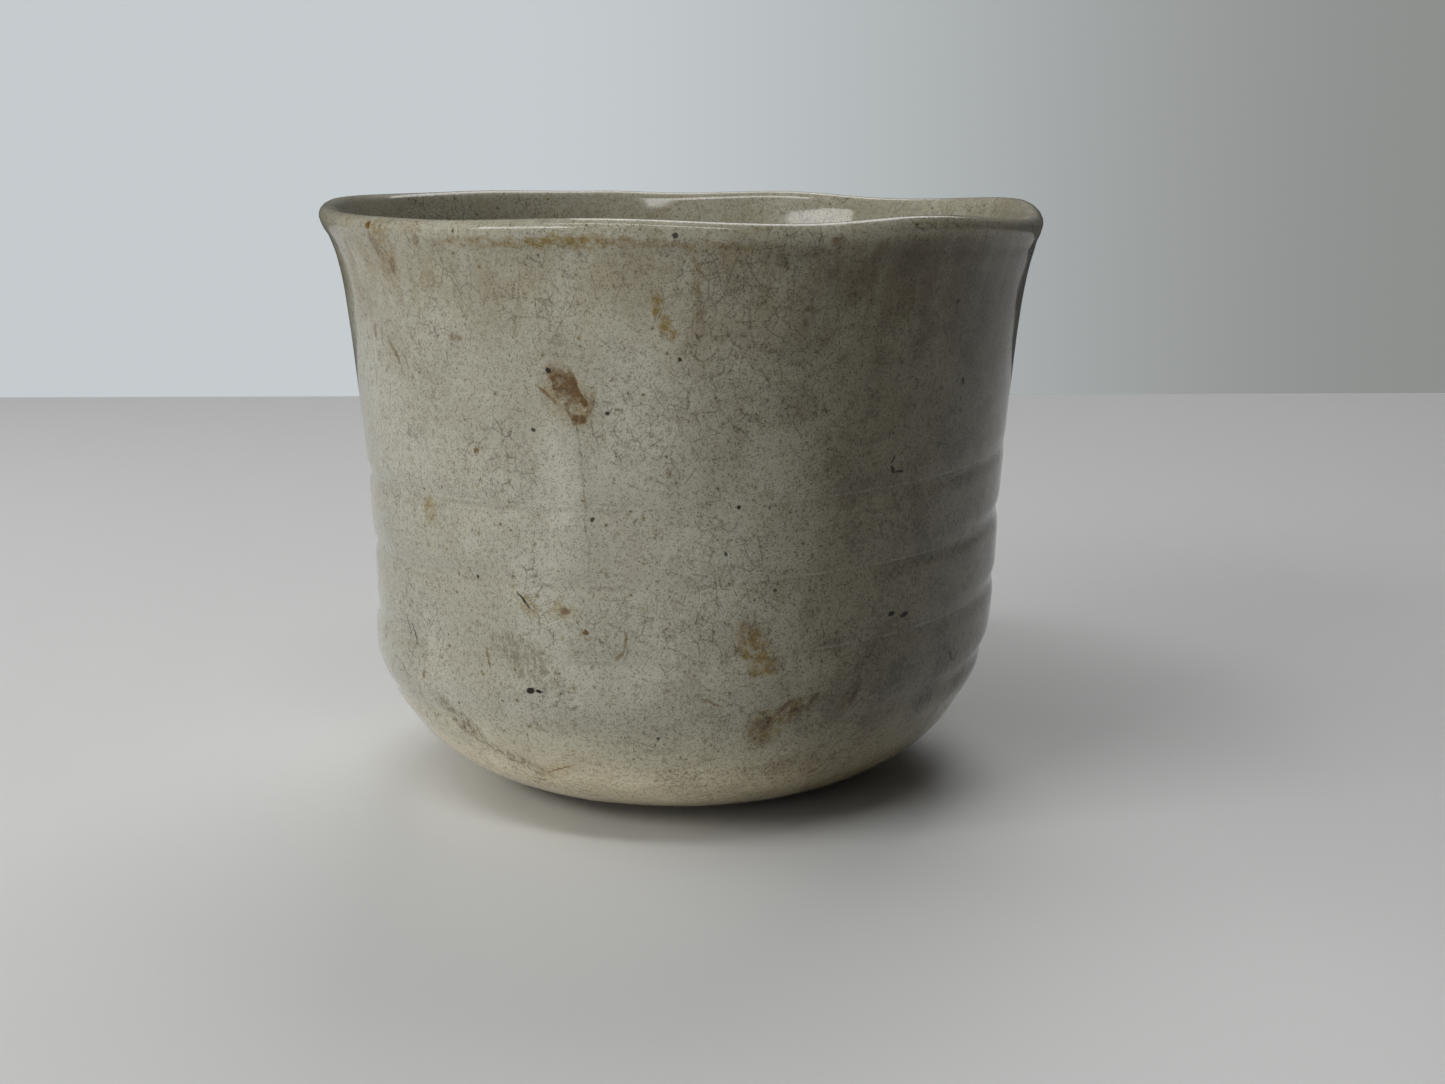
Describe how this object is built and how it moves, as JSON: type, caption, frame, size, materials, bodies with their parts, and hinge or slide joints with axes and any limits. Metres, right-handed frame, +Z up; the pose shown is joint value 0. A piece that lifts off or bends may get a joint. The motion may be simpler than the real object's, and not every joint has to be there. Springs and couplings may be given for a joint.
{
  "type": "tea bowl",
  "caption": "Deep half-cylinder tea bowl of glazed stoneware with a wavy out-turned lip, climbing throwing grooves, a rounded belly and a low foot ring.",
  "frame": {"origin": "on the table, under the middle of the foot", "axes": "+Z up through the mouth; -Y is the side that shows the stained front of the bowl; +X is to the right of it"},
  "size_m": [0.1196, 0.1196, 0.098],
  "materials": {
    "fired_clay": "matt fired stoneware",
    "bare_foot": "bare clay, worn and darkened by handling",
    "outside_glaze": "glossy off-white crackle glaze with iron specks and brown stains",
    "inside_glaze": "glossy off-white crackle glaze"
  },
  "bodies": {
    "root": {"clay_body": "fired_clay", "foot_ring": "bare_foot", "outside_glaze": "outside_glaze", "inside_glaze": "inside_glaze"}
  },
  "joints": []
}
